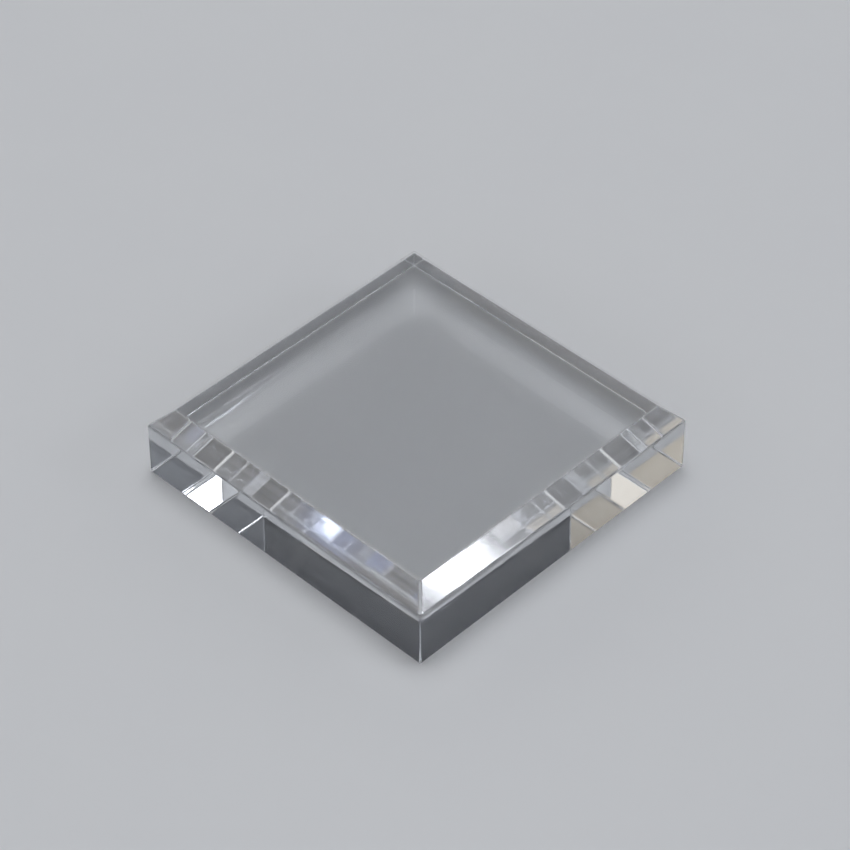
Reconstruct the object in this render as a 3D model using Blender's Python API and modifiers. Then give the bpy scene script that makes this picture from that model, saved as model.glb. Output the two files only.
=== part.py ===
"""A clear cast-acrylic display block: a low, square, solid base with a 45-degree bevel round its top.

It is one machined solid, so it is one object.
Metres, +Z up, origin at the centre of the underside, sides along X and Y.
"""

import math

import bmesh
import bpy

# The block as it is ordered from the workshop.
SIDE = 0.1143  # 4 1/2 in square across the vertical sides
THICKNESS = 0.0254  # 1 in cast plate
BEVEL_RUN = 0.00635  # 1/4 in: how far the bevel reaches in from the side
BEVEL_DROP = 0.00635  # 1/4 in: how far the bevel reaches down from the top

# Every sharp edge is broken with a buffing wheel, so that it doesn't chip or cut.
EDGE_EASE = 0.0004  # width taken off each face along an edge
EASE_SEGMENTS = 4
SHARP_ENOUGH_TO_EASE = math.radians(20)

COLLECTION = "acrylic_display_block"
BLOCK = "acrylic_block"

# Water-clear acrylic, polished all over.
ACRYLIC_COLOUR = (0.93, 0.95, 0.96, 1.0)
ACRYLIC_ROUGHNESS = 0.03
ACRYLIC_IOR = 1.49


def clear_scene():
    """Remove whatever the open file holds."""
    for obj in list(bpy.data.objects):
        bpy.data.objects.remove(obj)


def new_collection(name):
    """Return a new collection linked to the scene."""
    collection = bpy.data.collections.new(name)
    bpy.context.scene.collection.children.link(collection)
    return collection


def acrylic():
    """Return the block's one material."""
    material = bpy.data.materials.new("clear_acrylic")
    material.use_nodes = True
    shader = material.node_tree.nodes["Principled BSDF"]
    shader.inputs["Base Color"].default_value = ACRYLIC_COLOUR
    shader.inputs["Metallic"].default_value = 0.0
    shader.inputs["Roughness"].default_value = ACRYLIC_ROUGHNESS
    shader.inputs["IOR"].default_value = ACRYLIC_IOR
    shader.inputs["Transmission Weight"].default_value = 1.0
    return material


def sawn_blank():
    """Return a bmesh of the sawn square blank, as tall as its vertical sides, standing on Z = 0."""
    wall_height = THICKNESS - BEVEL_DROP
    blank = bmesh.new()
    bmesh.ops.create_cube(blank, size=1.0)
    bmesh.ops.scale(blank, vec=(SIDE, SIDE, wall_height), verts=blank.verts)
    bmesh.ops.translate(blank, vec=(0.0, 0.0, wall_height / 2), verts=blank.verts)
    return blank


def raise_bevelled_top(blank):
    """Extrude the blank's top face up by the bevel's drop, drawing it in by the bevel's run on each side."""
    top = max(blank.faces, key=lambda face: face.calc_center_median().z)
    raised = bmesh.ops.extrude_face_region(blank, geom=[top])["geom"]
    corners = [item for item in raised if isinstance(item, bmesh.types.BMVert)]
    bmesh.ops.delete(blank, geom=[top], context="FACES_ONLY")
    shrink = (SIDE - 2 * BEVEL_RUN) / SIDE
    bmesh.ops.scale(blank, vec=(shrink, shrink, 1.0), verts=corners)
    bmesh.ops.translate(blank, vec=(0.0, 0.0, BEVEL_DROP), verts=corners)
    bmesh.ops.recalc_face_normals(blank, faces=blank.faces)


def ease_edges(block):
    """Round every edge of the block by the buffed amount."""
    ease = block.modifiers.new("eased_edges", "BEVEL")
    ease.offset_type = "OFFSET"
    ease.width = EDGE_EASE
    ease.segments = EASE_SEGMENTS
    ease.limit_method = "ANGLE"
    ease.angle_limit = SHARP_ENOUGH_TO_EASE
    ease.harden_normals = True


def acrylic_block(collection):
    """Make the block: a sawn blank, its bevelled top and its eased edges."""
    blank = sawn_blank()
    raise_bevelled_top(blank)
    mesh = bpy.data.meshes.new(BLOCK)
    blank.to_mesh(mesh)
    blank.free()
    mesh.materials.append(acrylic())
    mesh.shade_smooth()
    block = bpy.data.objects.new(BLOCK, mesh)
    collection.objects.link(block)
    ease_edges(block)
    return block


def main():
    """Build the display block."""
    clear_scene()
    acrylic_block(new_collection(COLLECTION))


main()
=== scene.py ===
"""The looks of a clear acrylic display block: the polished block, on a pale sweep in a soft studio."""

import logging
import math
from dataclasses import dataclass, field
from enum import Enum
from typing import Any

import bmesh
import bpy
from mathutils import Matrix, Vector


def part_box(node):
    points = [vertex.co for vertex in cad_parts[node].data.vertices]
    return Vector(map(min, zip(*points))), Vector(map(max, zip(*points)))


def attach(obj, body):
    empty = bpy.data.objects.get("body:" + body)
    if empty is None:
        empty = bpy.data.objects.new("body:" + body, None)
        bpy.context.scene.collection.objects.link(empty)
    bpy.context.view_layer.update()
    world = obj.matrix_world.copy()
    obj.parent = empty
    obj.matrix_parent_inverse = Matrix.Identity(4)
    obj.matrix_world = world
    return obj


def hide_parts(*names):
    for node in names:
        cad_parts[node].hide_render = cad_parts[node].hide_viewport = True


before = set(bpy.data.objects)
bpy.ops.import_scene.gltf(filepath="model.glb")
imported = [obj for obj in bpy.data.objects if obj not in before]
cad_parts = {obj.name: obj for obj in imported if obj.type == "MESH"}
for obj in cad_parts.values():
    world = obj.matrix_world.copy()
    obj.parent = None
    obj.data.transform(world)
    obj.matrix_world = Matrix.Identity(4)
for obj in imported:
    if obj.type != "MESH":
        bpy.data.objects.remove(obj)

LOG = logging.getLogger("display_block")
CAD_NODE = "acrylic_block"
CAD_BODY = "root"
MM = 0.001
WHITE = (1.0, 1.0, 1.0, 1.0)
MOST_BOUNCES = 32
DIFFUSE_BOUNCES = 4
QUARTER_TURN = 90.0
HALF_TURN = 180.0
# The sRGB curve: a short straight foot, then a power of the level.
TOP_LEVEL = 255
SRGB_FOOT_ENDS = 0.04045
SRGB_FOOT_SLOPE = 12.92
SRGB_OFFSET = 0.055
SRGB_POWER = 2.4
# How a Map Range node eases in and out.
SOFT_FADE = "SMOOTHSTEP"
# A Mix node's sockets, by their numbers.
MIX_FLOAT_A, MIX_FLOAT_B = 2, 3
MIX_COLOUR_A, MIX_COLOUR_B, MIX_COLOUR_OUT = 6, 7, 2
# A noise lies about a half, and nearly all of it in this band.
NOISE_BAND = (0.3, 0.7)
PLAIN_DETAIL = 1.0
FINE_DETAIL = 3.0
# A light's own coordinates run from 0 to 1 over its cloth.
CLOTH_MIDDLE = (0.5, 0.5, 0.0)
CLOTH_RIM = 0.5


class Cloth(Enum):
    """How a softbox's cloth glows across its width."""

    EVEN = "even"
    FADING = "fading"


def linear(hex_colour: str) -> tuple[float, float, float, float]:
    """Turn an sRGB hex colour into linear light.

    Args:
        hex_colour: Six hex digits, with or without a leading #.

    Returns:
        Linear red, green and blue, and an alpha of 1.
    """
    digits = hex_colour.lstrip("#")
    levels = (int(digits[i : i + 2], 16) / TOP_LEVEL for i in (0, 2, 4))
    red, green, blue = (
        level / SRGB_FOOT_SLOPE
        if level <= SRGB_FOOT_ENDS
        else ((level + SRGB_OFFSET) / (1 + SRGB_OFFSET)) ** SRGB_POWER
        for level in levels
    )
    return red, green, blue, 1.0


def add_node(
    tree: bpy.types.NodeTree,
    kind: str,
    links: dict[str | int, bpy.types.NodeSocket] | None = None,
    values: dict[str | int, Any] | None = None,
    **settings: Any,
) -> bpy.types.Node:
    """Add one node to a tree, with its settings, its plain values and its incoming links.

    Args:
        tree: The node tree to add to.
        kind: The node's type name in Blender.
        links: Input name or number to the output socket that feeds it.
        values: Input name or number to its plain value.
        **settings: The node's own properties.

    Returns:
        The new node.
    """
    node = tree.nodes.new(kind)
    for name, value in settings.items():
        setattr(node, name, value)
    for name, value in (values or {}).items():
        node.inputs[name].default_value = value
    for name, socket in (links or {}).items():
        tree.links.new(socket, node.inputs[name])
    return node


def steps(low: float, high: float, start: float, end: float) -> dict[int, float]:
    """Return a Map Range node's four levels, by the number of its input."""
    return {1: low, 2: high, 3: start, 4: end}


def towards(azimuth: float, elevation: float) -> Vector:
    """Return the unit vector towards a place, in degrees: azimuth 0 is in front, at -Y, and 90 is at +X."""
    a, e = math.radians(azimuth), math.radians(elevation)
    return Vector((math.sin(a) * math.cos(e), -math.cos(a) * math.cos(e), math.sin(e)))


@dataclass(frozen=True)
class CastAcrylic:
    """Cast PMMA plate, its faces as cast, its bevels milled and then buffed.

    The faces give the eye glass-clear depth and sharp mirror images of each other. The milled bevels keep
    a trace of the cutter under the buff: a thin silver haze in streaks along each bevel, which picks up
    the lights and greys the images behind it.
    """

    name: str = "cast_acrylic_buffed"
    index: float = 1.491
    face_roughness: float = 0.012
    bevel_roughness: float = 0.035
    # Shelf scuffs on the underside scatter a little light, which adds up over many turns inside.
    scuff_scatter: float = 0.05
    face_scatter: float = 0.008
    # The share of light that the cutter's marks scatter, and how faint the faintest are beside the strongest.
    bevel_scatter: float = 0.23
    faintest_mark: float = 0.45
    coat_roughness: float = 0.12
    # The plate is colourless in the hand, and faintly blue over long paths inside.
    tint: str = "#E4ECF6"
    tint_depth_m: float = 0.45
    # Cutter marks are about 0.3 mm apart. They are drawn 0.8 mm apart, so that they show.
    streak_spacing_mm: float = 0.8
    streak_length_mm: float = 70.0
    streak_roughness: float = 0.6
    # The buff's orange peel, really about 0.2 mm, is drawn at 0.5 mm.
    peel_mm: float = 0.5
    peel_share: float = 0.25
    mark_height_mm: float = 0.002
    # The slow waviness that casting and buffing leave in any face.
    wave_mm: float = 9.0
    wave_height_mm: float = 0.003
    # How far up a normal points, from 0 to 1. It is 0.71 on a bevel, less than the first band on a side, and
    # more than the second on the top.
    upright_band: tuple[float, float] = (0.3, 0.6)
    level_band: tuple[float, float] = (0.8, 0.98)

    def material(self) -> bpy.types.Material:
        """Build the material: one shader all over, told face from bevel by which way the surface faces.

        Returns:
            The material.
        """
        material = bpy.data.materials.new(self.name)
        material.use_nodes = True
        tree = material.node_tree
        tree.nodes.clear()
        where = add_node(tree, "ShaderNodeTexCoord")
        on_bevel = self._bevel_mask(tree, where.outputs["Normal"])
        marks = self._marks(tree, where.outputs["Object"])
        level = add_node(
            tree, "ShaderNodeMapRange", links={0: marks},
            values=steps(*NOISE_BAND, self.faintest_mark, 1.0),
        )
        haze = add_node(
            tree, "ShaderNodeMath", operation="MULTIPLY", links={0: on_bevel, 1: level.outputs[0]}
        )
        unscuffed = self._unscuffed(tree, where.outputs["Normal"])
        unmilled = add_node(
            tree, "ShaderNodeMapRange", links={0: haze.outputs[0]},
            values=steps(0.0, 1.0, 1.0 - self.face_scatter, 1.0 - self.bevel_scatter),
        )
        clear = add_node(
            tree, "ShaderNodeMath", operation="MULTIPLY", links={0: unscuffed, 1: unmilled.outputs[0]}
        )
        rough = add_node(
            tree, "ShaderNodeMapRange", links={0: haze.outputs[0]},
            values=steps(0.0, 1.0, self.face_roughness, self.bevel_roughness),
        )
        waves = add_node(
            tree, "ShaderNodeTexNoise", links={"Vector": where.outputs["Object"]},
            values={"Scale": 1 / (self.wave_mm * MM), "Detail": PLAIN_DETAIL},
        )
        wavy = add_node(
            tree, "ShaderNodeBump", links={"Height": waves.outputs["Fac"]},
            values={"Strength": 1.0, "Distance": self.wave_height_mm * MM},
        )
        milled = add_node(
            tree, "ShaderNodeBump", links={"Height": marks},
            values={"Strength": 1.0, "Distance": self.mark_height_mm * MM},
        )
        shader = add_node(
            tree, "ShaderNodeBsdfPrincipled",
            links={
                "Roughness": rough.outputs[0],
                "Normal": wavy.outputs[0],
                "Transmission Weight": clear.outputs[0],
                "Coat Weight": haze.outputs[0],
                "Coat Normal": milled.outputs[0],
            },
            values={
                "Base Color": WHITE,
                "IOR": self.index,
                "Coat Roughness": self.coat_roughness,
                "Coat IOR": self.index,
            },
        )
        body = add_node(
            tree, "ShaderNodeVolumeAbsorption",
            values={"Color": linear(self.tint), "Density": 1 / self.tint_depth_m},
        )
        add_node(
            tree, "ShaderNodeOutputMaterial",
            links={"Surface": shader.outputs["BSDF"], "Volume": body.outputs["Volume"]},
        )
        return material

    def _bevel_mask(self, tree: bpy.types.NodeTree, normal: bpy.types.NodeSocket) -> bpy.types.NodeSocket:
        """Add the nodes that find the bevels.

        Args:
            tree: The material's tree.
            normal: The surface normal in the block's own axes.

        Returns:
            A socket that is 1 on a 45-degree bevel and 0 on a level or upright face.
        """
        parts = add_node(tree, "ShaderNodeSeparateXYZ", links={0: normal})
        not_upright = add_node(
            tree, "ShaderNodeMapRange", links={0: parts.outputs["Z"]},
            values=steps(*self.upright_band, 0.0, 1.0), interpolation_type=SOFT_FADE,
        )
        not_level = add_node(
            tree, "ShaderNodeMapRange", links={0: parts.outputs["Z"]},
            values=steps(*self.level_band, 1.0, 0.0), interpolation_type=SOFT_FADE,
        )
        both = add_node(
            tree, "ShaderNodeMath", operation="MULTIPLY",
            links={0: not_upright.outputs[0], 1: not_level.outputs[0]},
        )
        return both.outputs[0]

    def _unscuffed(self, tree: bpy.types.NodeTree, normal: bpy.types.NodeSocket) -> bpy.types.NodeSocket:
        """Add the nodes that find the scuffed underside.

        Args:
            tree: The material's tree.
            normal: The surface normal in the block's own axes.

        Returns:
            A socket that is 1 on every face but the underside, and a little less there.
        """
        parts = add_node(tree, "ShaderNodeSeparateXYZ", links={0: normal})
        nearly, fully = self.level_band
        share = add_node(
            tree, "ShaderNodeMapRange", links={0: parts.outputs["Z"]},
            values=steps(-fully, -nearly, 1.0 - self.scuff_scatter, 1.0),
        )
        return share.outputs[0]

    def _marks(self, tree: bpy.types.NodeTree, place: bpy.types.NodeSocket) -> bpy.types.NodeSocket:
        """Add the nodes that draw the cutter's streaks and the buff's orange peel.

        Args:
            tree: The material's tree.
            place: The point in the block's own axes, in metres.

        Returns:
            A socket of about a half, more or less by the marks.
        """
        across, along = 1 / (self.streak_spacing_mm * MM), 1 / (self.streak_length_mm * MM)
        drawn_out = add_node(
            tree, "ShaderNodeVectorMath", operation="MULTIPLY",
            links={0: place}, values={1: (along, along, across)},
        )
        streaks = add_node(
            tree, "ShaderNodeTexNoise", links={"Vector": drawn_out.outputs[0]},
            values={"Scale": 1.0, "Detail": FINE_DETAIL, "Roughness": self.streak_roughness},
        )
        peel = add_node(
            tree, "ShaderNodeTexNoise", links={"Vector": place},
            values={"Scale": 1 / (self.peel_mm * MM), "Detail": PLAIN_DETAIL},
        )
        both = add_node(
            tree, "ShaderNodeMix", data_type="FLOAT",
            links={MIX_FLOAT_A: streaks.outputs["Fac"], MIX_FLOAT_B: peel.outputs["Fac"]},
            values={0: self.peel_share},
        )
        return both.outputs[0]


@dataclass(frozen=True)
class SatinBoard:
    """Satin-painted board: pale and almost even, with the faint mottle and sheen that a roller leaves."""

    name: str = "satin_painted_board"
    colour: str = "#DDDEDF"
    mottle: str = "#D8D9DB"
    mottle_mm: float = 60.0
    roller_mm: float = 1.5
    roller_height_mm: float = 0.01
    gloss_roughness: tuple[float, float] = (0.34, 0.42)
    index: float = 1.45

    def material(self) -> bpy.types.Material:
        """Build the material.

        Returns:
            The material.
        """
        material = bpy.data.materials.new(self.name)
        material.use_nodes = True
        tree = material.node_tree
        tree.nodes.clear()
        where = add_node(tree, "ShaderNodeTexCoord")
        clouds = add_node(
            tree, "ShaderNodeTexNoise", links={"Vector": where.outputs["Object"]},
            values={"Scale": 1 / (self.mottle_mm * MM), "Detail": FINE_DETAIL},
        )
        paint = add_node(
            tree, "ShaderNodeMix", data_type="RGBA", links={"Factor": clouds.outputs["Fac"]},
            values={MIX_COLOUR_A: linear(self.colour), MIX_COLOUR_B: linear(self.mottle)},
        )
        sheen = add_node(
            tree, "ShaderNodeMapRange", links={0: clouds.outputs["Fac"]},
            values=steps(*NOISE_BAND, *self.gloss_roughness),
        )
        stipple = add_node(
            tree, "ShaderNodeTexNoise", links={"Vector": where.outputs["Object"]},
            values={"Scale": 1 / (self.roller_mm * MM), "Detail": PLAIN_DETAIL},
        )
        bump = add_node(
            tree, "ShaderNodeBump", links={"Height": stipple.outputs["Fac"]},
            values={"Strength": 1.0, "Distance": self.roller_height_mm * MM},
        )
        shader = add_node(
            tree, "ShaderNodeBsdfPrincipled",
            links={
                "Base Color": paint.outputs[MIX_COLOUR_OUT],
                "Roughness": sheen.outputs[0],
                "Normal": bump.outputs[0],
            },
            values={"IOR": self.index},
        )
        add_node(tree, "ShaderNodeOutputMaterial", links={"Surface": shader.outputs["BSDF"]})
        return material


@dataclass
class DisplayBlock:
    """The block: a square of thick plate with a 45-degree bevel round its top and buffed edges."""

    side: float
    thickness: float
    foot: Vector
    bevel_run: float = 6.35 * MM
    bevel_drop: float = 6.35 * MM
    roll_off: float = 1.0 * MM
    roll_off_cuts: int = 12
    # 0.5 is a round edge. A buffed one is flatter in the middle and turns faster at its two sides.
    roll_off_profile: float = 0.76
    # An edge is buffed where its faces turn by more degrees than this.
    sharp_enough: float = 20.0
    finish: CastAcrylic = field(default_factory=CastAcrylic)

    def build(self) -> bpy.types.Object:
        """Build the block, ease its edges and dress it.

        Returns:
            The block.
        """
        mesh = bpy.data.meshes.new("polished_block")
        shape = bmesh.new()
        self._saw_plate(shape)
        self._mill_bevels(shape)
        shape.to_mesh(mesh)
        shape.free()
        mesh.shade_smooth()
        mesh.materials.append(self.finish.material())
        block = bpy.data.objects.new("polished_block", mesh)
        block.location = self.foot
        bpy.context.scene.collection.objects.link(block)
        self._buff_edges(block)
        return block

    def _saw_plate(self, shape: bmesh.types.BMesh) -> None:
        """Make the square plate, as high as the foot of the bevels.

        Args:
            shape: The mesh to build in.
        """
        wall = self.thickness - self.bevel_drop
        bmesh.ops.create_cube(shape, size=1.0)
        bmesh.ops.scale(shape, vec=(self.side, self.side, wall), verts=shape.verts)
        bmesh.ops.translate(shape, vec=(0, 0, wall / 2), verts=shape.verts)

    def _mill_bevels(self, shape: bmesh.types.BMesh) -> None:
        """Raise the top to the full thickness, drawn in on all four sides.

        Args:
            shape: The mesh that holds the plate.
        """
        top = max(shape.faces, key=lambda face: face.calc_center_median().z)
        raised = bmesh.ops.extrude_face_region(shape, geom=[top])["geom"]
        corners = [item for item in raised if isinstance(item, bmesh.types.BMVert)]
        bmesh.ops.delete(shape, geom=[top], context="FACES_ONLY")
        shrink = 1 - 2 * self.bevel_run / self.side
        bmesh.ops.scale(shape, vec=(shrink, shrink, 1), verts=corners)
        bmesh.ops.translate(shape, vec=(0, 0, self.bevel_drop), verts=corners)
        bmesh.ops.recalc_face_normals(shape, faces=shape.faces)

    def _buff_edges(self, block: bpy.types.Object) -> None:
        """Round every edge over a little, as the buffing wheel does.

        Args:
            block: The block.
        """
        ease = block.modifiers.new("buffed_edges", "BEVEL")
        ease.offset_type = "OFFSET"
        ease.width = self.roll_off
        ease.segments = self.roll_off_cuts
        ease.profile = self.roll_off_profile
        ease.limit_method = "ANGLE"
        ease.angle_limit = math.radians(self.sharp_enough)
        ease.harden_normals = True


@dataclass
class Sweep:
    """A round pale sweep: a floor that curves up into a wall all round."""

    radius: float = 2.6
    cove: float = 0.5
    wall: float = 0.5
    cove_cuts: int = 12
    turns: int = 96
    # Points nearer than this after the turn are one point.
    seam: float = 0.01 * MM
    # The block stands on the board's highest points, so a sliver of air stays under it.
    air: float = 0.2 * MM
    finish: SatinBoard = field(default_factory=SatinBoard)

    def build(self) -> bpy.types.Object:
        """Turn the sweep and paint it.

        Returns:
            The sweep.
        """
        shape = bmesh.new()
        points = [shape.verts.new(point) for point in self._profile()]
        edges = [shape.edges.new(pair) for pair in zip(points, points[1:])]
        bmesh.ops.spin(
            shape, geom=points + edges, cent=(0, 0, 0), axis=(0, 0, 1), angle=math.tau,
            steps=self.turns, use_merge=True,
        )
        bmesh.ops.remove_doubles(shape, verts=shape.verts, dist=self.seam)
        bmesh.ops.recalc_face_normals(shape, faces=shape.faces)
        mesh = bpy.data.meshes.new("pale_sweep")
        shape.to_mesh(mesh)
        shape.free()
        mesh.shade_smooth()
        mesh.materials.append(self.finish.material())
        sweep = bpy.data.objects.new("pale_sweep", mesh)
        sweep.location.z = -self.air
        bpy.context.scene.collection.objects.link(sweep)
        return sweep

    def _profile(self) -> list[Vector]:
        """Return the sweep's outline, from its middle to the top of its wall.

        Returns:
            Points in the XZ plane.
        """
        flat = self.radius - self.cove
        outline = [Vector((0.0, 0.0, 0.0)), Vector((flat, 0.0, 0.0))]
        for cut in range(1, self.cove_cuts + 1):
            angle = math.radians(QUARTER_TURN) * cut / self.cove_cuts
            out, up = self.cove * math.sin(angle), self.cove * (1 - math.cos(angle))
            outline.append(Vector((flat + out, 0.0, up)))
        outline.append(Vector((self.radius, 0.0, self.cove + self.wall)))
        return outline


@dataclass
class Camera:
    """The camera: it looks down at the block's front corner through a long lens."""

    azimuth: float = 44.24
    elevation: float = 42.86
    distance: float = 0.9753
    aim: tuple[float, float, float] = (-0.0119, 0.0157, 0.0)
    lens_mm: float = 134.0
    clip: tuple[float, float] = (0.01, 20.0)

    def stand(self) -> bpy.types.Object:
        """Stand the camera and make it the scene's own.

        Returns:
            The camera.
        """
        data = bpy.data.cameras.new("camera")
        data.lens = self.lens_mm
        data.clip_start, data.clip_end = self.clip
        camera = bpy.data.objects.new("camera", data)
        back = towards(self.azimuth, self.elevation)
        camera.location = Vector(self.aim) + back * self.distance
        camera.rotation_euler = back.to_track_quat("Z", "Y").to_euler()
        bpy.context.scene.collection.objects.link(camera)
        bpy.context.scene.camera = camera
        return camera

    def beyond(self, bearing: float, elevation: float) -> Vector:
        """Return the unit vector to a bearing: 0 is beyond the block, 90 is right and -90 is left."""
        return towards(self.azimuth + HALF_TURN - bearing, elevation)


@dataclass
class Softbox:
    """A flat soft light, hung on a stand and turned to the block."""

    name: str
    bearing: float
    elevation: float
    distance: float
    size: tuple[float, float]
    glow: float
    colour: str
    cloth: Cloth = Cloth.FADING

    def hang(self, camera: Camera) -> bpy.types.Object:
        """Hang the light where the camera's side says.

        Args:
            camera: The camera that the bearing starts from.

        Returns:
            The light.
        """
        data = bpy.data.lights.new(self.name, "AREA")
        data.shape = "RECTANGLE"
        data.size, data.size_y = self.size
        # The power that makes a cloth of this area glow so strongly.
        data.energy = self.glow * math.pi * self.size[0] * self.size[1]
        data.color = linear(self.colour)[:3]
        if self.cloth is Cloth.FADING:
            self._fade_to_rim(data)
        light = bpy.data.objects.new(self.name, data)
        way = camera.beyond(self.bearing, self.elevation)
        light.location = way * self.distance
        light.rotation_euler = way.to_track_quat("Z", "Y").to_euler()
        bpy.context.scene.collection.objects.link(light)
        return light

    def _fade_to_rim(self, data: bpy.types.AreaLight) -> None:
        """Let the cloth glow most in its middle and not at all at its rim.

        Args:
            data: The light.
        """
        data.use_nodes = True
        tree = data.node_tree
        tree.nodes.clear()
        place = add_node(tree, "ShaderNodeNewGeometry")
        centred = add_node(
            tree, "ShaderNodeVectorMath", operation="SUBTRACT",
            links={0: place.outputs["Parametric"]}, values={1: CLOTH_MIDDLE},
        )
        radius = add_node(
            tree, "ShaderNodeVectorMath", operation="LENGTH", links={0: centred.outputs[0]}
        )
        falling = add_node(
            tree, "ShaderNodeMapRange", links={0: radius.outputs["Value"]},
            values=steps(0.0, CLOTH_RIM, 1.0, 0.0), interpolation_type=SOFT_FADE,
        )
        glow = add_node(tree, "ShaderNodeEmission", links={"Strength": falling.outputs[0]})
        add_node(tree, "ShaderNodeOutputLight", links={"Surface": glow.outputs[0]})


@dataclass
class Room:
    """The room round the sweep: grey walls under a dark ceiling, with three dark doorways."""

    walls: str = "#D6D6D7"
    ceiling: str = "#22252B"
    walls_end: float = 27.0
    ceiling_starts: float = 42.0
    # Each doorway's bearing and height, in degrees: far left, far right, and behind the camera. Seen through
    # the block, they darken some of the image blocks in its bevels.
    doorways: tuple[tuple[float, float], ...] = ((-48.2, 30.5), (48.2, 30.5), (-146.0, 27.0))
    doorway_reach: tuple[float, float] = (3.6, 3.0)

    def light(self, camera: Camera) -> None:
        """Light the scene with the room.

        Args:
            camera: The camera that the doorways' bearings start from.
        """
        room = bpy.data.worlds.new("room")
        bpy.context.scene.world = room
        room.use_nodes = True
        tree = room.node_tree
        tree.nodes.clear()
        way = add_node(tree, "ShaderNodeTexCoord")
        height = add_node(tree, "ShaderNodeSeparateXYZ", links={0: way.outputs["Generated"]})
        low, high = (math.sin(math.radians(e)) for e in (self.walls_end, self.ceiling_starts))
        upward = add_node(
            tree, "ShaderNodeMapRange", links={0: height.outputs["Z"]},
            values=steps(low, high, 0.0, 1.0), interpolation_type=SOFT_FADE,
        )
        dark = upward.outputs[0]
        for doorway in self.doorways:
            dark = self._doorway(tree, way.outputs["Generated"], camera.beyond(*doorway), dark)
        paint = add_node(
            tree, "ShaderNodeMix", data_type="RGBA", links={"Factor": dark},
            values={MIX_COLOUR_A: linear(self.walls), MIX_COLOUR_B: linear(self.ceiling)},
        )
        glow = add_node(tree, "ShaderNodeBackground", links={"Color": paint.outputs[MIX_COLOUR_OUT]})
        add_node(tree, "ShaderNodeOutputWorld", links={"Surface": glow.outputs["Background"]})

    def _doorway(
        self,
        tree: bpy.types.NodeTree,
        way: bpy.types.NodeSocket,
        middle: Vector,
        dark: bpy.types.NodeSocket,
    ) -> bpy.types.NodeSocket:
        """Add one dark doorway to what is dark already.

        Args:
            tree: The room's tree.
            way: The direction looked in.
            middle: The direction of the doorway's middle.
            dark: How dark the room is without it, from 0 to 1.

        Returns:
            A socket with the darker of the two.
        """
        near = add_node(
            tree, "ShaderNodeVectorMath", operation="DOT_PRODUCT", links={0: way}, values={1: middle}
        )
        rim, inside = (math.cos(math.radians(reach)) for reach in self.doorway_reach)
        within = add_node(
            tree, "ShaderNodeMapRange", links={0: near.outputs["Value"]},
            values=steps(rim, inside, 0.0, 1.0),
        )
        darker = add_node(
            tree, "ShaderNodeMath", operation="MAXIMUM", links={0: within.outputs[0], 1: dark}
        )
        return darker.outputs[0]


@dataclass
class Studio:
    """The plain studio: the sweep, the room's light and the softboxes round the block."""

    camera: Camera = field(default_factory=Camera)
    sweep: Sweep = field(default_factory=Sweep)
    room: Room = field(default_factory=Room)

    def lights(self) -> list[Softbox]:
        """Return the softboxes.

        Returns:
            Each light, in the order that it is hung.
        """
        return [
            # A strip on the right. The bevel beside it mirrors it, and the near left corner shows it too.
            Softbox(
                name="key", bearing=100.0, elevation=31.5, distance=3.0,
                size=(0.14, 0.95), glow=42.0, colour="#F3F6FF",
            ),
            # A faint panel that fills the left-hand face from inside.
            Softbox(
                name="right_panel", bearing=99.0, elevation=38.0, distance=2.0,
                size=(1.1, 1.1), glow=0.24, colour="#E8EEF8",
            ),
            # A small bluish box on the left, which the left bevel mirrors near the front corner.
            Softbox(
                name="left_strip", bearing=-100.5, elevation=29.4, distance=3.0,
                size=(0.13, 0.13), glow=5.0, colour="#A4B8F4",
            ),
            # The warm panel that fills the right-hand face from inside.
            Softbox(
                name="left_panel", bearing=-99.0, elevation=38.0, distance=2.0,
                size=(1.3, 1.3), glow=0.66, colour="#FFF3DE",
            ),
            # Seen only after many turns inside the block, as one bright patch on the left bevel.
            Softbox(
                name="kicker", bearing=-141.8, elevation=28.6, distance=3.0,
                size=(0.085, 0.085), glow=5.0, colour="#E8F2FF", cloth=Cloth.EVEN,
            ),
            # Bluish daylight from behind on the left, which the left bevel holds near the front corner.
            Softbox(
                name="window", bearing=-146.0, elevation=27.0, distance=2.5,
                size=(1.8, 1.2), glow=0.5, colour="#A4B8F4",
            ),
            # The large cloth overhead, which lights the floor and the sweep's wall.
            Softbox(
                name="overhead", bearing=0.0, elevation=84.0, distance=3.2,
                size=(4.0, 4.0), glow=5.0, colour="#FAFCFF",
            ),
        ]

    def build(self) -> None:
        """Set the studio up round the block."""
        sweep = self.sweep.build()
        LOG.info("%s: radius %.1f m", sweep.name, self.sweep.radius)
        self.room.light(self.camera)
        camera = self.camera.stand()
        LOG.info("%s: %.0f mm lens", camera.name, self.camera.lens_mm)
        for softbox in self.lights():
            light = softbox.hang(self.camera)
            LOG.info("%s: %.2f m wide", light.name, softbox.size[0])


def expose() -> None:
    """Let light turn inside the block as often as it does, and show colours as they are."""
    scene = bpy.context.scene
    scene.cycles.max_bounces = MOST_BOUNCES
    scene.cycles.glossy_bounces = MOST_BOUNCES
    scene.cycles.transmission_bounces = MOST_BOUNCES
    scene.cycles.diffuse_bounces = DIFFUSE_BOUNCES
    scene.view_settings.view_transform = "Standard"


def main() -> None:
    """Build the block and its studio, and report each piece."""
    logging.basicConfig(level=logging.INFO, format="%(name)s: %(message)s")
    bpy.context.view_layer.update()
    low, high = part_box(CAD_NODE)
    side, thickness = high.x - low.x, high.z - low.z
    foot = Vector(((low.x + high.x) / 2, (low.y + high.y) / 2, low.z))
    block = DisplayBlock(side, thickness, foot).build()
    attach(block, CAD_BODY)
    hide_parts(CAD_NODE)
    LOG.info("%s: %.1f mm square, %.1f mm thick", block.name, side / MM, thickness / MM)
    Studio().build()
    expose()


if __name__ == "__main__":
    main()
